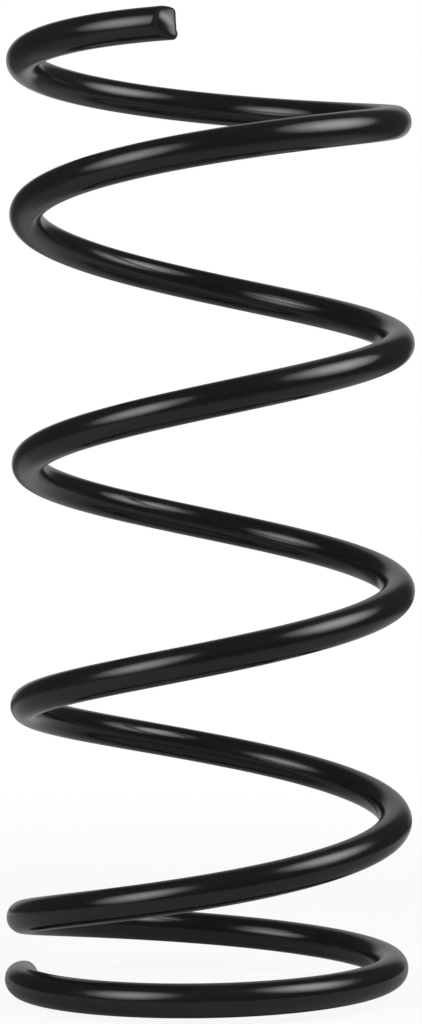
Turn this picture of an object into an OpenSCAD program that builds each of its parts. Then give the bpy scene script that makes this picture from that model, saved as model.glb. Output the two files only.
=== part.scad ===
// Coil spring of a car's suspension: one bar of round steel, wound right-handed into a
// cylinder, with an uneven pitch. The low end coil lies almost flat, the working coils open
// out towards the top, and the last turns close up again. Both ends are sheared off: the
// blade pressed the outer side of the wire into a slope and left a nearly square face.
// The coil's axis is Z, the wire's lowest point is at z = 0 and the front is -Y.

/* [Wire] */
// Diameter of the round wire
wire_d = 13; // [9:0.5:16]

/* [Sheared ends] */
// Rounding of the rim of each sheared end
rim_r = 1.2; // [0.5:0.1:2.5]
// Slope of the nearly square face, whose outer side stands further out
face_slope = 0.19; // [0:0.01:0.3]
// Slope that the blade pressed into the outer side, at its start
press_slope = 0.5; // [0.3:0.05:0.8]
// Radius at which the pressed slope steepens towards the wire's side
press_r = 10.5; // [8:0.5:20]
// How far short of the wire's middle the pressed slope starts
press_overlap = 0.5; // [0:0.1:2]
// Direction in which the pressed slope falls, in degrees up from straight outward
press_angle = 26; // [0:1:60]

/* [Coil] */
// Outer diameter of the coil
coil_d = 159; // [130:1:200]
// Free length, over the wire
free_length = 380; // [330:1:440]
// Turns of wire from one end to the other
turns = 5.235; // [4.8:0.005:5.8]
// Where the low end lies, in degrees round from +X towards +Y
low_end_angle = 176; // [0:1:359]
// How far the middle of the coil stands out towards +X from its two ends
bow = 2.5; // [0:0.5:6]

/* [Pitch] */
// Rise of the low end coil, for each turn
low_pitch = 9; // [6:0.5:20]
// Turns that the low end coil keeps that pitch
low_flat_turns = 0.5; // [0.3:0.01:0.6]
// Turns in which the wire lifts from the low end coil to the working coils
low_lift_turns = 0.6; // [0.4:0.01:0.8]
// Turns in which the pitch falls from the working coils to the top end
top_fall_turns = 1.605; // [1:0.005:2]
// Pitch at the top end
top_pitch = 31; // [15:1:60]
// How far the top end bends back down from that pitch
top_dip = 1; // [0:0.1:2]
// Turns over which it bends back down
top_dip_turns = 0.2; // [0.2:0.05:0.4]
// Pitch where the working coils start, as a share of their basic pitch
first_share = 0.86; // [0.7:0.01:1.3]
// Pitch partway up the working coils, as a share of their basic pitch
middle_share = 1.04; // [0.7:0.01:1.3]
// Pitch where the working coils end, as a share of their basic pitch
last_share = 1.1; // [0.7:0.01:1.3]
// How far up the working coils that middle pitch is reached, from 0 to 1
middle_place = 0.48; // [0.3:0.01:0.7]

/* [Hidden] */

wire_r = wire_d / 2;
mean_r = (coil_d - wire_d) / 2;
climb = free_length + top_dip - wire_d;
turn_length = 2 * PI * mean_r;

// Facets around the wire, rings along one turn, and the steps round an end's rim and from
// there in to its middle
wire_sides = 20;
rings_per_turn = 48;
rim_steps = 3;
face_steps = 5;

// The pitch changes smoothly from each of these places to the next, counted in turns
work_start = low_flat_turns + low_lift_turns;
work_end = turns - top_fall_turns;
work_middle = work_start + middle_place * (work_end - work_start);
places = [0, low_flat_turns, work_start, work_middle, work_end, turns];

// The end pitches are set, and the working coils share the rest of the climb
end_pitches = [low_pitch, low_pitch, 0, 0, 0, top_pitch];
work_shares = [0, 0, first_share, middle_share, last_share, 0];
basic_pitch = (climb - rise(turns, end_pitches)) / rise(turns, work_shares);
pitches = end_pitches + basic_pitch * work_shares;

function sum(v) = [for (x = v) 1] * v;
function unit(v) = v / norm(v);
function limit(x) = min(max(x, 0), 1);

// Rise after t turns: each stretch adds the area under its smooth step in pitch
function rise(t, pitch) = sum([
    for (i = [0 : len(places) - 2])
        let (span = places[i + 1] - places[i], u = limit((t - places[i]) / span))
            span * (pitch[i] * u + (pitch[i + 1] - pitch[i]) * (pow(u, 3) - pow(u, 4) / 2))
]);

// The wire's centre line, and the three directions of its section, after t turns
function out_of_line(z) = bow / 2 * (1 - 2 * pow(2 * z / climb - 1, 2));
function dip(t) = top_dip * pow(max((t - turns) / top_dip_turns + 1, 0), 2);
function radial(t) = [cos(low_end_angle + 360 * t), sin(low_end_angle + 360 * t), 0];
function centre(t) =
    let (z = rise(t, pitches))
        mean_r * radial(t) + [out_of_line(z), 0, wire_r + z - dip(t)];
function along(t) =
    let (step = 0.001)
        unit(centre(t + step) - centre(t - step));
function outward(t) = unit(radial(t) - (radial(t) * along(t)) * along(t));
function upward(t) = cross(outward(t), along(t));

// The point x outward and y upward of the centre line after t turns
function place(t, x, y) = centre(t) + x * outward(t) + y * upward(t);

// The corners of a ring of radius r around the centre line
function corners(r) = [
    for (i = [0 : wire_sides - 1]) r * [cos(360 * i / wire_sides), sin(360 * i / wire_sides)]
];

// How far a sheared end stands past the last of its turns, x outward and y upward of its
// middle: as far as the nearly square face or the pressed slope, whichever is shorter
function cut(x, y) =
    let (u = x * cos(press_angle) + y * sin(press_angle) + press_overlap)
        min(face_slope * x, -press_slope * u - pow(max(u, 0), 2) / (2 * press_r));

// One ring of the wire's side after t turns
function side_ring(t) = [for (c = corners(wire_r)) place(t, c.x, c.y)];

// A ring of radius r on the cut. end is 1 at the top end and -1 at the low end.
function cut_ring(end, r) =
    let (t = end > 0 ? turns : 0, forward = end * along(t))
        [for (c = corners(r)) place(t, c.x, c.y) + cut(c.x, c.y) * forward];

// A ring of its rim, sunk below the cut, where the wire is still round and follows the coil
function rim_ring(end, r, sunk) =
    let (t = end > 0 ? turns : 0)
        [for (c = corners(r)) place(t + end * (cut(c.x, c.y) - sunk) / turn_length, c.x, c.y)];

// The rings of a sheared end, round its rim and then in towards its middle
function end_rings(end) = [
    for (i = [0 : rim_steps - 1])
        let (a = 90 * i / rim_steps)
            rim_ring(end, wire_r - rim_r * (1 - cos(a)), rim_r * (1 - sin(a))),
    for (i = [0 : face_steps - 1]) cut_ring(end, (wire_r - rim_r) * (1 - i / face_steps))
];
function end_middle(end) = cut_ring(end, 0)[0];

function reversed(v) = [for (i = [len(v) - 1 : -1 : 0]) v[i]];

// One skin over the rings in order, closed at each end by a fan round its middle
module skin(rings, low_middle, top_middle) {
    n = wire_sides;
    last = len(rings) - 1;
    middles = len(rings) * n;
    sides = [
        for (k = [0 : last - 1], i = [0 : n - 1])
            let (a = k * n + i, b = k * n + (i + 1) % n)
                each [[a, b, b + n], [a, b + n, a + n]]
    ];
    fans = [
        for (i = [0 : n - 1])
            let (j = (i + 1) % n)
                each [[middles, j, i], [middles + 1, last * n + i, last * n + j]]
    ];
    polyhedron(
        points = concat([for (r = rings) each r], [low_middle, top_middle]),
        faces = concat(sides, fans)
    );
}

module coil() {
    // Where the wire's plain side starts, clear of the deepest point of the cut
    deepest = rim_r - cut(wire_r * cos(press_angle), wire_r * sin(press_angle));
    first = (deepest + 1) / turn_length;
    plain = turns - 2 * first;
    steps = ceil(plain * rings_per_turn);
    body = [for (i = [0 : steps]) side_ring(first + plain * i / steps)];
    color("#1c1c1d")
        skin(
            concat(reversed(end_rings(-1)), body, end_rings(1)),
            end_middle(-1), end_middle(1)
        );
}

coil();
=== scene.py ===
import math

import bpy
import numpy as np
from mathutils import Euler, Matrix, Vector, noise


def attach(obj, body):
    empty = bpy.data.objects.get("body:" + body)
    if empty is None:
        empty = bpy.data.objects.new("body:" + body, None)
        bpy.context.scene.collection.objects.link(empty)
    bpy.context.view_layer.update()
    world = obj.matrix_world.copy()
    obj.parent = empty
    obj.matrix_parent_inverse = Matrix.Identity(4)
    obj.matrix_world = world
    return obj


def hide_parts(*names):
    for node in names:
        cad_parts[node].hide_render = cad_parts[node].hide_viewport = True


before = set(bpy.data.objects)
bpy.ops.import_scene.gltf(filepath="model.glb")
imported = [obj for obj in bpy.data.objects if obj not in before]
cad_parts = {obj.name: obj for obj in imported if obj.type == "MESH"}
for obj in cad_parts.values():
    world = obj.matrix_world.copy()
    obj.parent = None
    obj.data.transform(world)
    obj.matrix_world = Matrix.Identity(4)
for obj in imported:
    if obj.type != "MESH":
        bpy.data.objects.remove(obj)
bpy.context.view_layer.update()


# Shader maths: a reading is one socket, and sums on it add their own Math nodes
class Reading:
    def __init__(self, bench, socket):
        self.bench, self.socket = bench, socket

    def __add__(self, other):
        return self.bench.math("ADD", self, other)

    def __radd__(self, other):
        return self.bench.math("ADD", other, self)

    def __sub__(self, other):
        return self.bench.math("SUBTRACT", self, other)

    def __rsub__(self, other):
        return self.bench.math("SUBTRACT", other, self)

    def __mul__(self, other):
        return self.bench.math("MULTIPLY", self, other)

    def __rmul__(self, other):
        return self.bench.math("MULTIPLY", other, self)


# The nodes of one material, or of the surround
class NodeBench:
    def __init__(self, tree):
        self.tree = tree
        tree.nodes.clear()

    # One node: its settings first, then the values or readings of its inputs. It gives the
    # reading of one output, or those of a list of outputs.
    def add(self, kind, settings=None, values=None, output=0):
        node = self.tree.nodes.new("ShaderNode" + kind)
        for name, setting in (settings or {}).items():
            setattr(node, name, setting)
        for name, value in (values or {}).items():
            if isinstance(value, Reading):
                self.tree.links.new(value.socket, node.inputs[name])
            else:
                node.inputs[name].default_value = value
        if isinstance(output, list):
            return [Reading(self, node.outputs[name]) for name in output]
        return Reading(self, node.outputs[output]) if node.outputs else None

    def math(self, operation, *values):
        return self.add("Math", {"operation": operation}, dict(enumerate(values)))

    def noise(self, place, scale, detail, rough):
        return self.add("TexNoise", {}, {
            "Vector": place, "Scale": scale, "Detail": detail, "Roughness": rough,
        })

    # 0 below low, 1 above high, and smooth between them
    def step(self, value, low, high):
        return self.add("MapRange", {"interpolation_type": "SMOOTHSTEP"}, {
            "Value": value, "From Min": low, "From Max": high,
        })

    # The first colour where share is 0, the second where it is 1 (sockets 6 and 7)
    def blend(self, share, first, second):
        return self.add("Mix", {"data_type": "RGBA"}, {
            "Factor": share, 6: first, 7: second,
        }, output=2)

    def stretch(self, place, amounts):
        return self.add("VectorMath", {"operation": "MULTIPLY"}, {0: place, 1: amounts})


# The spring's wire. Its form is the part's own, in finer steps.
springWire = {
    "across": 0.013, "coilAcross": 0.159, "freeLength": 0.380, "turns": 5.235,
    "lowEndAngle": 176,           # degrees round from +X towards +Y
    "bow": 0.0025,                # how far the coil's middle stands out towards +X
    "lowPitch": 0.009, "lowFlatTurns": 0.5,    # the low end coil, almost flat
    "lowLiftTurns": 0.6,          # turns in which the wire lifts from it
    "topPitch": 0.031, "topFallTurns": 1.605,  # the last turns, which close up again
    "topDip": 0.001, "topDipTurns": 0.2,       # how the top end bends back down
    "workShares": [0.86, 1.04, 1.1],  # the working coils' pitches, against a basic pitch
    "middlePlace": 0.48,          # how far up them the middle one of those is reached
    "insideCad": 0.00001,         # how far the skin stays inside the part's own solid
    "nudge": 0.0005,              # turns to each side, for the wire's direction
    "ringsPerTurn": 200, "sides": 64,
}
w = springWire
wireRadius = w["across"] / 2 - w["insideCad"]
meanRadius = (w["coilAcross"] - w["across"]) / 2
climb = w["freeLength"] + w["topDip"] - w["across"]
turnLength = 2 * math.pi * meanRadius

# The pitch changes smoothly from each of these places to the next, counted in turns
workStart = w["lowFlatTurns"] + w["lowLiftTurns"]
workEnd = w["turns"] - w["topFallTurns"]
workMiddle = workStart + w["middlePlace"] * (workEnd - workStart)
places = [0, w["lowFlatTurns"], workStart, workMiddle, workEnd, w["turns"]]


# Rise after t turns: each stretch adds the area under its smooth step in pitch, and past
# the two ends the pitch stays as it is there
def riseAfter(t, pitches):
    total = pitches[0] * np.minimum(t, 0) + pitches[-1] * np.maximum(t - w["turns"], 0)
    for start, end, first, last in zip(places, places[1:], pitches, pitches[1:]):
        u = np.clip((t - start) / (end - start), 0, 1)
        total = total + (end - start) * (first * u + (last - first) * (u**3 - u**4 / 2))
    return total


# The end pitches are set, and the working coils share the rest of the climb
endPitches = np.array([w["lowPitch"], w["lowPitch"], 0, 0, 0, w["topPitch"]])
workShares = np.array([0, 0] + w["workShares"] + [0])
basicPitch = (climb - riseAfter(w["turns"], endPitches)) / riseAfter(w["turns"], workShares)
wirePitches = endPitches + basicPitch * workShares


def radialAt(t):
    angle = math.radians(w["lowEndAngle"]) + 2 * math.pi * t
    return np.stack([np.cos(angle), np.sin(angle), np.zeros_like(angle)], -1)


def centreAt(t):
    z = riseAfter(t, wirePitches)
    outOfLine = w["bow"] / 2 * (1 - 2 * (2 * z / climb - 1) ** 2)
    dip = w["topDip"] * np.maximum((t - w["turns"]) / w["topDipTurns"] + 1, 0) ** 2
    away = np.stack([outOfLine, np.zeros_like(z), w["across"] / 2 + z - dip], -1)
    return meanRadius * radialAt(t) + away


def unit(v):
    return v / np.linalg.norm(v, axis=-1, keepdims=True)


# A point of the wire after t turns, x outward and y upward from its centre line
def wirePoint(t, x, y):
    along = unit(centreAt(t + w["nudge"]) - centreAt(t - w["nudge"]))
    radial = radialAt(t)
    outward = unit(radial - (radial * along).sum(-1, keepdims=True) * along)
    upward = np.cross(outward, along)
    return centreAt(t) + x[..., None] * outward + y[..., None] * upward


# Each end is sheared off: the blade came from outside the coil, pressed that side of the
# wire into a rounded slope, and left a nearly square face behind it
cutEnd = {
    "past": 0.00025,       # how far the face's middle stands past the nominal end
    "lean": 0.19,          # the face's own slope, its outer side standing further out
    "slope": 0.50, "slopeFrom": -0.0005,    # where the blade pressed
    "slopeTurn": 26,       # the way it falls, in degrees up from straight outward
    "domeRadius": 0.0105,  # its rounding on the way down
    "crest": 0.0005, "narrow": 0.8, "underRadius": 0.013,  # and to both sides of its crest
    "soften": 0.0003,      # width of the edge between it and the face
    "lip": 0.0006, "lipFrom": 0.0018, "lipTo": 0.0042,  # what the blade dragged out below
    "lipIn": 0.0035,       # and only on the inner side
    "rollOut": 0.0010, "rollIn": 0.0018,    # rounding into the wire's side
    "grain": 0.00007, "grainScale": 420, "chatter": 0.000012, "chatterScale": 1500,
    "grainFade": 0.25,     # how far in from the rim the grain is full, as a share
    "seeds": [3.7, 8.2],   # for the grain of the low and the top end
    "bend": 0.017,         # length over which the rings turn to meet the cut
    "bendRings": 14, "rollRings": 12, "faceRings": 36,
}


def smoothMin(a, b, width):
    return (a + b - np.sqrt((a - b) ** 2 + width**2)) / 2


def smoothStep(value, low, high):
    u = np.clip((value - low) / (high - low), 0, 1)
    return u * u * (3 - 2 * u)


# How far the cut stands past the wire's nominal end, x outward and y upward
def cutAt(x, y):
    c = cutEnd
    turn = math.radians(c["slopeTurn"])
    down = x * math.cos(turn) + y * math.sin(turn) - c["slopeFrom"]
    aside = y * math.cos(turn) - x * math.sin(turn) - c["crest"]
    pressed = -c["slope"] * down - np.maximum(down, 0) ** 2 / (2 * c["domeRadius"])
    pressed = pressed * (1 + c["narrow"] * (aside / wireRadius) ** 2)
    pressed = pressed - np.minimum(aside, 0) ** 2 / (2 * c["underRadius"])
    face = smoothMin(c["lean"] * x, pressed, c["soften"])
    lip = smoothStep(-y, c["lipFrom"], c["lipTo"]) * smoothStep(-x, 0, c["lipIn"])
    return c["past"] + face + c["lip"] * lip


# How rough the cut is at one of its points
def grainAt(x, y, seed):
    c = cutEnd
    coarse = noise.noise(Vector((x * c["grainScale"], y * c["grainScale"], seed)))
    fine = noise.noise(Vector((x * c["chatterScale"], y * c["chatterScale"], seed)))
    return c["grain"] * coarse + c["chatter"] * fine


# The corners of a ring round the wire, for a radius of 1
around = 2 * np.pi * np.arange(w["sides"]) / w["sides"]
roundX, roundY = np.cos(around), np.sin(around)


# The rings from the wire's side over the cut to its middle: for each ring, the distance of
# its points past the nominal end, their x and y, and how far the ring belongs to the cut
def cutRings(seed):
    c = cutEnd
    facing = (1 + np.cos(around - math.radians(c["slopeTurn"]))) / 2
    roll = c["rollIn"] + (c["rollOut"] - c["rollIn"]) * facing**2
    rim = cutAt(wireRadius * roundX, wireRadius * roundY) - roll
    rings = []
    for k in range(c["bendRings"]):
        left = 1 - k / c["bendRings"]
        past = -c["bend"] * left + (1 - left) ** 2 * rim
        rings.append((past, wireRadius * roundX, wireRadius * roundY, 0.0))
    for k in range(c["rollRings"] + 1):
        a = math.pi / 2 * k / c["rollRings"]
        r = wireRadius - roll * (1 - math.cos(a))
        x, y = r * roundX, r * roundY
        rings.append((cutAt(x, y) - roll * (1 - math.sin(a)), x, y, k / c["rollRings"]))
    edge = wireRadius - roll
    for k in range(1, c["faceRings"]):
        share = 1 - k / c["faceRings"]
        x, y = edge * share * roundX, edge * share * roundY
        rough = np.array([grainAt(px, py, seed) for px, py in zip(x, y)])
        rings.append((cutAt(x, y) + rough * min(1, (1 - share) / c["grainFade"]), x, y, 1.0))
    return rings


# All the wire's rings, from its low end to its top end: the turns of their points, their x
# and y, and how far each ring belongs to a cut
def wireRings():
    bendTurns = cutEnd["bend"] / turnLength
    plainTurns = w["turns"] - 2 * bendTurns
    steps = round(plainTurns * w["ringsPerTurn"])
    lowCut, topCut = (cutRings(seed) for seed in cutEnd["seeds"])
    rings = [(-past / turnLength, x, y, cut) for past, x, y, cut in reversed(lowCut)]
    for i in range(1, steps):
        t = np.full(w["sides"], bendTurns + plainTurns * i / steps)
        rings.append((t, wireRadius * roundX, wireRadius * roundY, 0.0))
    rings += [(w["turns"] + past / turnLength, x, y, cut) for past, x, y, cut in topCut]
    return [np.array(column) for column in zip(*rings)]


wireT, wireX, wireY, ringCut = wireRings()
ringCount, sides = wireT.shape
middlePast = cutAt(0.0, 0.0)
middleT = np.array([-middlePast / turnLength, w["turns"] + middlePast / turnLength])


# Faces between the rings, and a fan round the middle of each cut
def wireFaces():
    lowMiddle, topMiddle = ringCount * sides, ringCount * sides + 1
    lastRing = (ringCount - 1) * sides
    faces = []
    for k in range(ringCount - 1):
        for i in range(sides):
            a, b = k * sides + i, k * sides + (i + 1) % sides
            faces.append((a, a + sides, b + sides, b))
    for i in range(sides):
        j = (i + 1) % sides
        faces.append((lowMiddle, i, j))
        faces.append((topMiddle, lastRing + j, lastRing + i))
    return faces


skin = wirePoint(wireT, wireX, wireY).reshape(-1, 3)
skin = np.vstack([skin, wirePoint(middleT, np.zeros(2), np.zeros(2))])
coilMesh = bpy.data.meshes.new("springCoil")
coilMesh.from_pydata(skin.tolist(), [], wireFaces())
coilMesh.polygons.foreach_set("use_smooth", [True] * len(coilMesh.polygons))

# Each point's place on the wire as if it were straight, for patterns that follow it
straight = np.stack([wireT * turnLength, wireX, wireY], -1).reshape(-1, 3)
straight = np.vstack([straight, np.stack([middleT * turnLength, [0, 0], [0, 0]], -1)])
wirePlace = coilMesh.attributes.new("wirePlace", "FLOAT_VECTOR", "POINT")
wirePlace.data.foreach_set("vector", straight.astype(np.float32).ravel())

# 0 on the wire's side, 1 on the cut faces, and between them on their rounding
onCut = np.append(np.repeat(ringCut, sides), [1, 1])
cutShare = coilMesh.attributes.new("cutShare", "FLOAT", "POINT")
cutShare.data.foreach_set("value", onCut.astype(np.float32))

# The wire's UV map, for baking: its side in strips, one above the other, and the two cuts
# beside them, drawn larger. Its sizes are metres on a square sheet.
flatSheet = {
    "width": 0.37, "margin": 0.004,
    "strips": 8, "stripPitch": 0.0455,
    "cutX": 0.34, "cutY": [0.03, 0.08], "cutScale": 3,
    "cutRim": 0.15,  # how far a cut's rounding is spread out round it, as a share
}
acrossWire = np.hypot(wireX, wireY)


# A corner of a face on a cut
def cutPlace(ring, side):
    f = flatSheet
    radius = f["cutScale"] * acrossWire[ring, side % sides]
    radius = radius * (1 + f["cutRim"] * (1 - ringCut[ring]))
    low = ring < ringCount / 2
    angle = 2 * np.pi * side / sides * np.where(low, 1, -1)
    middle = np.where(low, *f["cutY"])
    return np.stack([f["cutX"] + radius * np.cos(angle), middle + radius * np.sin(angle)], -1)


# A corner of a face on the wire's side
def stripPlace(ring, side, strip):
    f = flatSheet
    along = (wireT[ring, side % sides] - strip * w["turns"] / f["strips"]) * turnLength
    about = strip * f["stripPitch"] + 2 * np.pi * wireRadius * side / sides
    return f["margin"] + np.stack([along, about], -1)


# The map's places for all corners, in the order of the mesh's faces
def facePlaces():
    f = flatSheet
    ring, side = np.meshgrid(np.arange(ringCount - 1), np.arange(sides), indexing="ij")
    strip = (wireT[ring, 0] * f["strips"] / w["turns"]).astype(int).clip(0, f["strips"] - 1)
    isCut = (ringCut[ring] + ringCut[ring + 1] > 0)[..., None]
    between = np.stack([
        np.where(isCut, cutPlace(ring + k, side + i), stripPlace(ring + k, side + i, strip))
        for k, i in [(0, 0), (1, 0), (1, 1), (0, 1)]
    ], 2)
    side = np.arange(sides)
    lowRing, topRing = np.zeros_like(side), np.full_like(side, ringCount - 1)
    lowMiddle, topMiddle = (np.tile([f["cutX"], y], (sides, 1)) for y in f["cutY"])
    fans = np.stack([
        lowMiddle, cutPlace(lowRing, side), cutPlace(lowRing, side + 1),
        topMiddle, cutPlace(topRing, side + 1), cutPlace(topRing, side),
    ], 1)
    return np.vstack([between.reshape(-1, 2), fans.reshape(-1, 2)]) / f["width"]


bakeMap = coilMesh.uv_layers.new(name="OFBake")
bakeMap.uv.foreach_set("vector", facePlaces().astype(np.float32).ravel())
coilMesh.update()

springCoil = bpy.data.objects.new("springCoil", coilMesh)
bpy.context.scene.collection.objects.link(springCoil)
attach(springCoil, "root")
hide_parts("coil")
print("wire made:", len(coilMesh.vertices), "points,", len(coilMesh.polygons), "faces")


# Its black coating: glossy, with a slight orange peel, the drawn steel's lines and a little
# dust, and with the broken steel's crystals showing through it on the cuts
blackCoating = {
    "black": (0.0105, 0.0107, 0.0103, 1), "dusty": (0.022, 0.022, 0.021, 1),
    "thin": (0.045, 0.044, 0.042, 1),    # where the coat thins out on the cut's edge
    "gloss": 0.13, "cutGloss": 0.16, "bending": 1.5,  # roughness, and how it bends light
    # Each pattern's scale, detail and roughness
    "peel": (520, 2, 0.5), "drawn": (1500, 3, 0.6), "smudges": (45, 3, 0.55),
    "specks": (2600, 1, 0.5), "crystals": (1400, 3, 0.6),
    "drawnOut": (0.02, 1, 1),            # the drawn lines run along the wire
    # Where dust starts and is full in a pattern, and how much of it there is
    "smudgeDust": (0.48, 0.78), "smudgeShare": 0.25,
    "speckDust": (0.70, 0.78), "speckShare": 0.35,
    "cutDust": 0.2, "crystalDust": 0.3,
    # The cut's edge, and where the coat is thin on it
    "edgeIn": (0.15, 0.5), "edgeOut": (0.5, 0.95),
    "thinCrystals": 0.6, "thinAt": (0.62, 0.95), "thinShare": 0.5,
    # What is added to the roughness
    "smudgeRough": 0.07, "smudgeRoughAt": (0.35, 0.75), "drawnRough": 0.03, "thinRough": 0.08,
    # Heights of the bumps
    "peelHeight": 0.0000025, "drawnHeight": 0.0000002, "crystalHeight": 0.000006,
}


def coatingMaterial():
    c = blackCoating
    material = bpy.data.materials.new("blackCoating")
    material.use_nodes = True
    bench = NodeBench(material.node_tree)
    onWire = bench.add("Attribute", {"attribute_name": "wirePlace"}, output="Vector")
    cut = bench.add("Attribute", {"attribute_name": "cutShare"}, output="Fac")
    inSpace = bench.add("TexCoord", output="Object")

    peel = bench.noise(inSpace, *c["peel"])
    drawn = bench.noise(bench.stretch(onWire, c["drawnOut"]), *c["drawn"])
    smudges = bench.noise(inSpace, *c["smudges"])
    specks = bench.noise(inSpace, *c["specks"])
    crystals = bench.noise(onWire, *c["crystals"])

    dust = bench.step(smudges, *c["smudgeDust"]) * c["smudgeShare"]
    dust = dust + bench.step(specks, *c["speckDust"]) * c["speckShare"]
    edge = bench.step(cut, *c["edgeIn"]) * (1 - bench.step(cut, *c["edgeOut"]))
    thin = edge * bench.step(smudges + c["thinCrystals"] * crystals, *c["thinAt"])
    color = bench.blend(dust, c["black"], c["dusty"])
    onCutDust = cut * (c["cutDust"] + c["crystalDust"] * crystals)
    color = bench.blend(onCutDust, color, c["dusty"])
    color = bench.blend(thin * c["thinShare"], color, c["thin"])

    rough = c["gloss"] + c["smudgeRough"] * bench.step(smudges, *c["smudgeRoughAt"])
    rough = rough + c["drawnRough"] * drawn
    rough = rough + cut * (c["cutGloss"] - c["gloss"]) + thin * c["thinRough"]

    height = c["peelHeight"] * peel + c["drawnHeight"] * drawn
    height = height + c["crystalHeight"] * cut * crystals
    normal = bench.add("Bump", {}, {"Strength": 1, "Distance": 1, "Height": height})
    shader = bench.add("BsdfPrincipled", {}, {
        "Base Color": color, "Roughness": rough, "Normal": normal, "IOR": c["bending"],
    })
    bench.add("OutputMaterial", {}, {"Surface": shader})
    return material


coilMesh.materials.append(coatingMaterial())
print("coating made")


# The studio: a pale floor, a white surround and two softboxes
studio = {
    "floorRadius": 9, "floorSides": 96,
    "paleFloor": (0.95, 0.95, 0.95, 1), "white": (1, 1, 1, 1),  # seen by the camera
    "greyFloor": (0.5, 0.5, 0.5, 1),                            # seen by all else
    "dimRoom": (0.06, 0.06, 0.06, 1),
    "nearWhite": 0.91,                # the floor's own white near the spring, for its shadow
    "fadeFrom": 0.25, "fadeTo": 0.9,  # distances between which it turns all white
}

# What the spring's gloss sees of the white: a patch of the floor just behind it, a wedge of
# the floor further back, and a window of the surround behind it
glossWhite = {
    "floor": 0.04,                     # what it sees of all the floor
    "patch": 0.3, "patchTurn": 0.25,
    "patchFrom": 0.06, "patchTo": 0.4, "patchFade": 0.3, "patchEnd": 0.85,
    "wedge": 0.45, "wedgeNarrow": 2, "wedgeFrom": 0.5, "wedgeTo": 1.2,
    "window": 0.4, "windowNarrow": 1.5, "windowLower": 0.35,
    "windowFrom": 0.05, "windowTo": 0.55,
}


# 1 for what the camera sees, and 1 for what a gloss or a clear body sees
def seenShare(bench):
    seenBy = ["Is Camera Ray", "Is Glossy Ray", "Is Transmission Ray"]
    camera, gloss, clear = bench.add("LightPath", output=seenBy)
    return camera, bench.math("MAXIMUM", gloss, clear)


def makeFloor():
    s, g = studio, glossWhite
    bpy.ops.mesh.primitive_circle_add(
        vertices=s["floorSides"], radius=s["floorRadius"], fill_type="NGON"
    )
    floor = bpy.context.object
    floor.name = "floor"
    material = bpy.data.materials.new("paleFloor")
    material.use_nodes = True
    bench = NodeBench(material.node_tree)
    camera, gloss = seenShare(bench)
    place = bench.add("TexCoord", output="Object")
    x, y = bench.add("SeparateXYZ", {}, {"Vector": place}, output=["X", "Y"])
    away = bench.add("VectorMath", {"operation": "LENGTH"}, {0: place}, output="Value")
    far = bench.step(away, s["fadeFrom"], s["fadeTo"])
    patch = g["patch"] * bench.step(y + g["patchTurn"] * x, g["patchFrom"], g["patchTo"])
    patch = patch * (1 - bench.step(away, g["patchFade"], g["patchEnd"]))
    aside = g["wedgeNarrow"] * bench.math("ABSOLUTE", x)
    wedge = g["wedge"] * bench.step(y - aside, g["wedgeFrom"], g["wedgeTo"])
    share = camera * (s["nearWhite"] + (1 - s["nearWhite"]) * far)
    share = share + gloss * (g["floor"] + patch + wedge)
    color = bench.blend(camera, s["greyFloor"], s["paleFloor"])
    matt = bench.add("BsdfDiffuse", {}, {"Color": color})
    glow = bench.add("Emission", {}, {"Color": s["white"], "Strength": 1})
    mixed = bench.add("MixShader", {}, {0: share, 1: matt, 2: glow})
    bench.add("OutputMaterial", {}, {"Surface": mixed})
    floor.data.materials.append(material)


def makeSurround():
    s, g = studio, glossWhite
    world = bpy.data.worlds.new("surround")
    bpy.context.scene.world = world
    world.use_nodes = True
    bench = NodeBench(world.node_tree)
    camera, gloss = seenShare(bench)
    heading = bench.add("TexCoord", output="Generated")
    x, y, z = bench.add("SeparateXYZ", {}, {"Vector": heading}, output=["X", "Y", "Z"])
    inside = y - g["windowNarrow"] * bench.math("ABSOLUTE", x) - g["windowLower"] * z
    share = camera + gloss * g["window"] * bench.step(inside, g["windowFrom"], g["windowTo"])
    dim = bench.add("Background", {}, {"Color": s["dimRoom"], "Strength": 1})
    white = bench.add("Background", {}, {"Color": s["white"], "Strength": 1})
    mixed = bench.add("MixShader", {}, {0: share, 1: dim, 2: white})
    bench.add("OutputWorld", {}, {"Surface": mixed})


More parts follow.
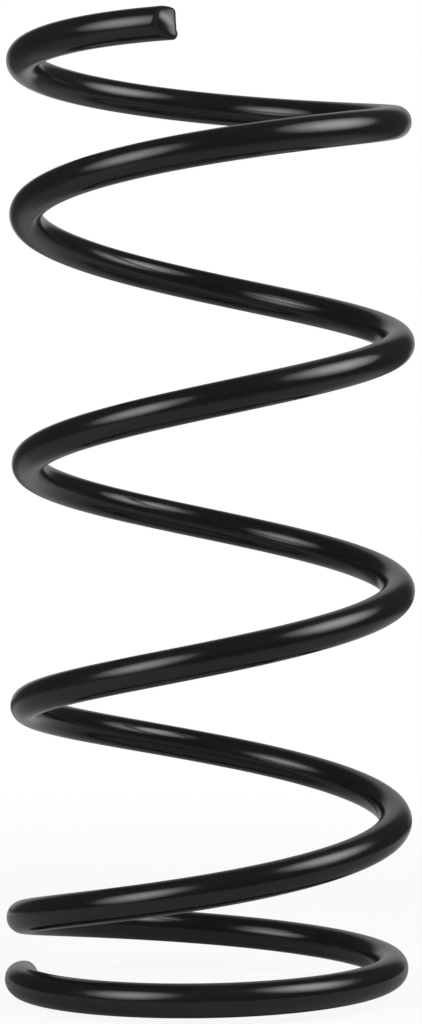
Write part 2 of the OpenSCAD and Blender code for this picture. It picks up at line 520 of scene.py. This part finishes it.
# Each softbox is brighter towards its middle: three lamps, one before the other
softboxes = {
    "leftSoftbox": {
        "place": (-0.647, -0.586, 0.595), "wide": 0.94, "tall": 1.02, "level": 5.1,
    },
    "rightSoftbox": {
        "place": (0.62, -0.2, 0.69), "wide": 0.86, "tall": 0.86, "level": 6.3,
    },
}
softLamps = {
    "sizes": [1, 0.7, 0.4], "levels": [0.3, 0.35, 0.35],  # as shares of the softbox's own
    "apart": 0.01, "spread": 150,
}


def makeSoftbox(name, box):
    place = Vector(box["place"])
    aim = Vector((0, 0, w["freeLength"] / 2)) - place
    half = math.radians(softLamps["spread"]) / 2
    gathered = (math.tan(half) - half) / math.tan(half)  # a narrower spread needs less energy
    for i, (size, level) in enumerate(zip(softLamps["sizes"], softLamps["levels"])):
        lamp = bpy.data.lights.new(f"{name}{i}", "AREA")
        lamp.shape = "ELLIPSE"
        lamp.size, lamp.size_y = box["wide"] * size, box["tall"] * size
        area = math.pi / 4 * lamp.size * lamp.size_y
        lamp.energy = box["level"] * level * math.pi * area * gathered
        lamp.spread = 2 * half
        lampObject = bpy.data.objects.new(f"{name}{i}", lamp)
        lampObject.location = place + softLamps["apart"] * i * aim.normalized()
        lampObject.rotation_euler = aim.to_track_quat("-Z", "Y").to_euler()
        lampObject.visible_camera = False
        bpy.context.scene.collection.objects.link(lampObject)


makeFloor()
makeSurround()
for name, box in softboxes.items():
    makeSoftbox(name, box)
print("studio made")


# The camera, in front of the spring and a little above its middle
mainCamera = {
    "lens": 117.74, "sensor": 36, "clipEnd": 50,
    "place": (0.00027, -1.3205, 0.20416),
    "down": 0.0104, "roll": 0.0013,  # how far it tips down and rolls, in radians
}


def makeCamera():
    m = mainCamera
    camera = bpy.data.objects.new("mainCamera", bpy.data.cameras.new("mainCamera"))
    camera.data.lens, camera.data.sensor_width = m["lens"], m["sensor"]
    camera.data.clip_end = m["clipEnd"]
    camera.location = m["place"]
    level = Euler((math.pi / 2 - m["down"], 0, 0)).to_matrix()
    turned = Euler((0, 0, m["roll"])).to_matrix()
    camera.rotation_euler = (level @ turned).to_euler()
    bpy.context.scene.collection.objects.link(camera)
    bpy.context.scene.camera = camera


makeCamera()
bpy.context.scene.view_settings.view_transform = "Standard"
print("camera placed")
